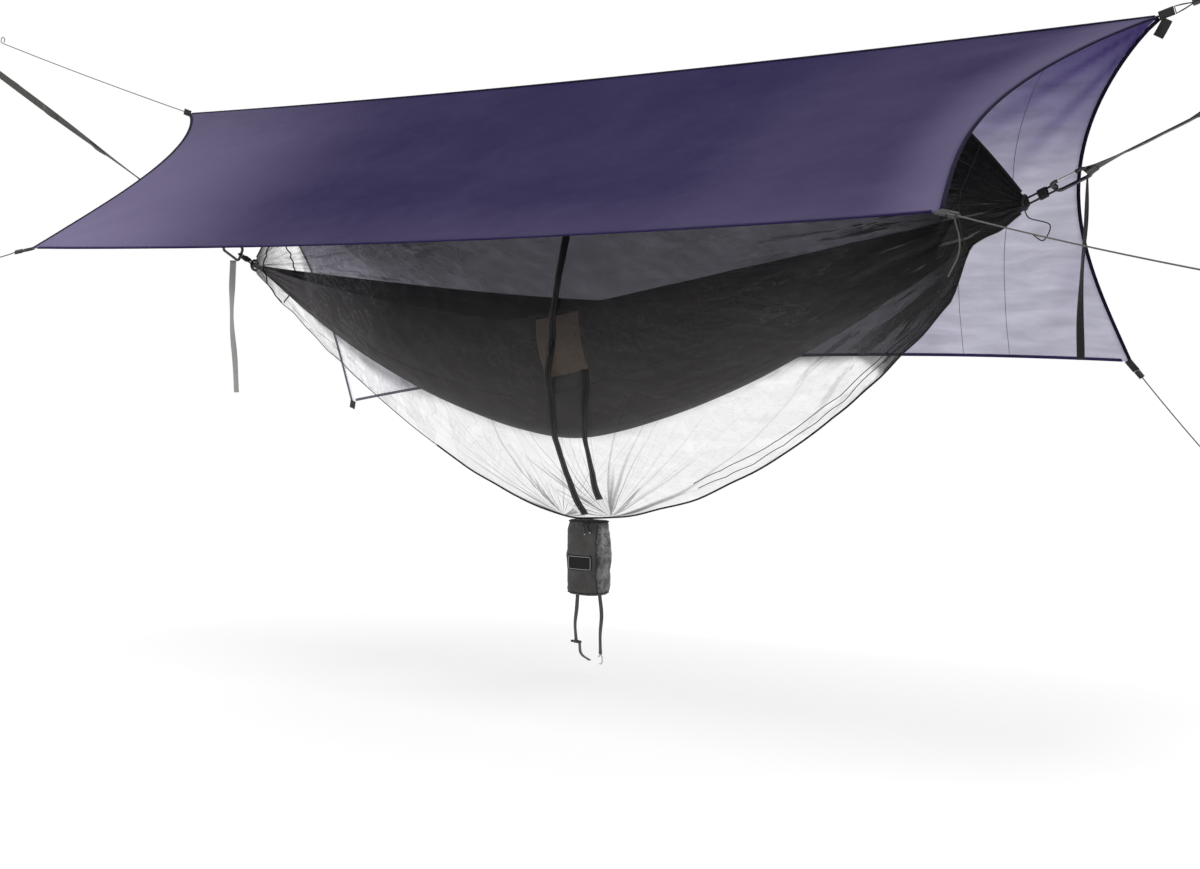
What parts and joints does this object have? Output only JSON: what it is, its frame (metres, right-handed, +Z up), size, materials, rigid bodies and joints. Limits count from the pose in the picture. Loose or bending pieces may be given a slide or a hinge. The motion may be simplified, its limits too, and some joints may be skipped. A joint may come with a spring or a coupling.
{
  "type": "hammock tent",
  "caption": "Hanging hammock tent: a trough-shaped bed in a full insect net under a ridge tarp, on webbing straps with carabiners, a side zip and a stuff sack hung below.",
  "frame": {"origin": "middle of the line between the two ends of the hammock, where it is hung", "axes": "+X along the ridge to the right-hand tree, -Y to the open porch side, +Z up"},
  "size_m": [4.8072, 1.7687, 2.0583],
  "materials": {
    "tarp_fabric": "woven nylon, satin",
    "binding": "folded tape, matt",
    "webbing": "woven webbing, matt",
    "strap_grey": "woven webbing, matt",
    "guy_cord": "braided cord, matt",
    "black_cord": "braided cord, matt",
    "black_plastic": "moulded, matt",
    "hammock_fabric": "woven nylon, satin",
    "pocket_fabric": "woven nylon, matt",
    "net_mesh": "fine see-through insect mesh",
    "zip_tape": "woven zip tape, matt",
    "sack_fabric": "woven nylon, satin",
    "sack_side_mesh": "silvery woven cloth",
    "alloy": "satin metal"
  },
  "bodies": {
    "tarp_and_suspension": {"tarp_near_panel": "tarp_fabric", "tarp_far_panel": "tarp_fabric", "tarp_ridge_tape": "binding", "tarp_binding_near_left": "binding", "tarp_binding_near_right": "binding", "tarp_binding_far_left": "binding", "tarp_binding_far_right": "binding", "tab_ridge_left": "webbing", "tab_ridge_right": "webbing", "tab_near_left": "webbing", "tab_near_right": "webbing", "tab_far_right": "webbing", "tab_far_left": "webbing", "lock_ridge_right": "black_plastic", "lock_near_left": "black_plastic", "lock_near_right": "black_plastic", "lock_far_right": "black_plastic", "guy_line_ridge_left": "guy_cord", "guy_line_ridge_right": "guy_cord", "guy_line_near_left": "guy_cord", "guy_line_near_right": "guy_cord", "guy_line_far_right": "guy_cord", "guy_tail_near_right": "guy_cord", "ridge_loop": "black_cord", "tarp_side_tag": "webbing", "strap_left": "strap_grey", "strap_right": "strap_grey", "strap_tail_left": "strap_grey", "strap_tail_right": "webbing", "carabiner_left": "alloy", "carabiner_right": "alloy"},
    "hammock_and_net": {"hammock_near_side_panel": "hammock_fabric", "hammock_centre_panel": "hammock_fabric", "hammock_far_side_panel": "hammock_fabric", "hammock_gather_left": "hammock_fabric", "hammock_gather_right": "hammock_fabric", "hammock_pocket": "pocket_fabric", "hammock_loop_left": "black_cord", "hammock_loop_right": "black_cord", "net_near_side": "net_mesh", "net_far_side": "net_mesh", "net_ridge_hem": "black_cord", "net_bottom_hem": "black_cord", "net_cuff_left": "black_cord", "net_cuff_right": "black_cord", "net_drawcord": "black_cord", "zip_tape": "zip_tape", "zip_flap": "zip_tape", "sack_knot": "black_cord"},
    "gate_left": {"carabiner_gate_left": "alloy"},
    "gate_right": {"carabiner_gate_right": "alloy"},
    "zip_slider": {"zip_slider": "alloy"},
    "zip_pull": {"zip_pull": "black_plastic"},
    "sack": {"sack_body": "sack_fabric", "sack_side_mesh": "sack_side_mesh", "sack_tail_short": "webbing", "sack_tail_long": "webbing"},
    "toggle": {"tail_toggle": "black_plastic", "toggle_strap": "webbing"},
    "clip": {"tail_clip": "alloy"}
  },
  "joints": [
    {"name": "hammock_swing", "type": "hinge", "parent": "tarp_and_suspension", "child": "hammock_and_net", "pos_m": [0.00208, 0, 0.03494], "axis": [1, 0, 0.0086], "range_deg": [-8, 8]},
    {"name": "gate_left_hinge", "type": "hinge", "parent": "tarp_and_suspension", "child": "gate_left", "pos_m": [-1.36229, 0, 0.05384], "axis": [0, -1, 0], "range_deg": [0, 25], "stiffness_Nm_per_rad": 0.02},
    {"name": "gate_right_hinge", "type": "hinge", "parent": "tarp_and_suspension", "child": "gate_right", "pos_m": [1.37656, -0.02222, 0.06043], "axis": [-0.3704, 0.2578, 0.8923], "range_deg": [0, 25], "stiffness_Nm_per_rad": 0.02},
    {"name": "zip_slide", "type": "slide", "parent": "hammock_and_net", "child": "zip_slider", "axis": [0.0915, -0.3395, -0.9362], "range_m": [-0.012, 0.012]},
    {"name": "zip_pull_hinge", "type": "hinge", "parent": "zip_slider", "child": "zip_pull", "pos_m": [0.20089, -0.38876, -0.30008], "axis": [-1, 0, 0], "range_deg": [0, 60]},
    {"name": "sack_swing", "type": "hinge", "parent": "hammock_and_net", "child": "sack", "pos_m": [0.04, 0, -0.77992], "axis": [1, 0, 0], "range_deg": [-35, 35]},
    {"name": "toggle_swing", "type": "hinge", "parent": "sack", "child": "toggle", "pos_m": [-0.003, 0, -1.11732], "axis": [1, 0, 0], "range_deg": [-60, 60]},
    {"name": "clip_swing", "type": "hinge", "parent": "sack", "child": "clip", "pos_m": [0.08025, 0, -1.15432], "axis": [0, 1, 0], "range_deg": [-45, 45]}
  ]
}
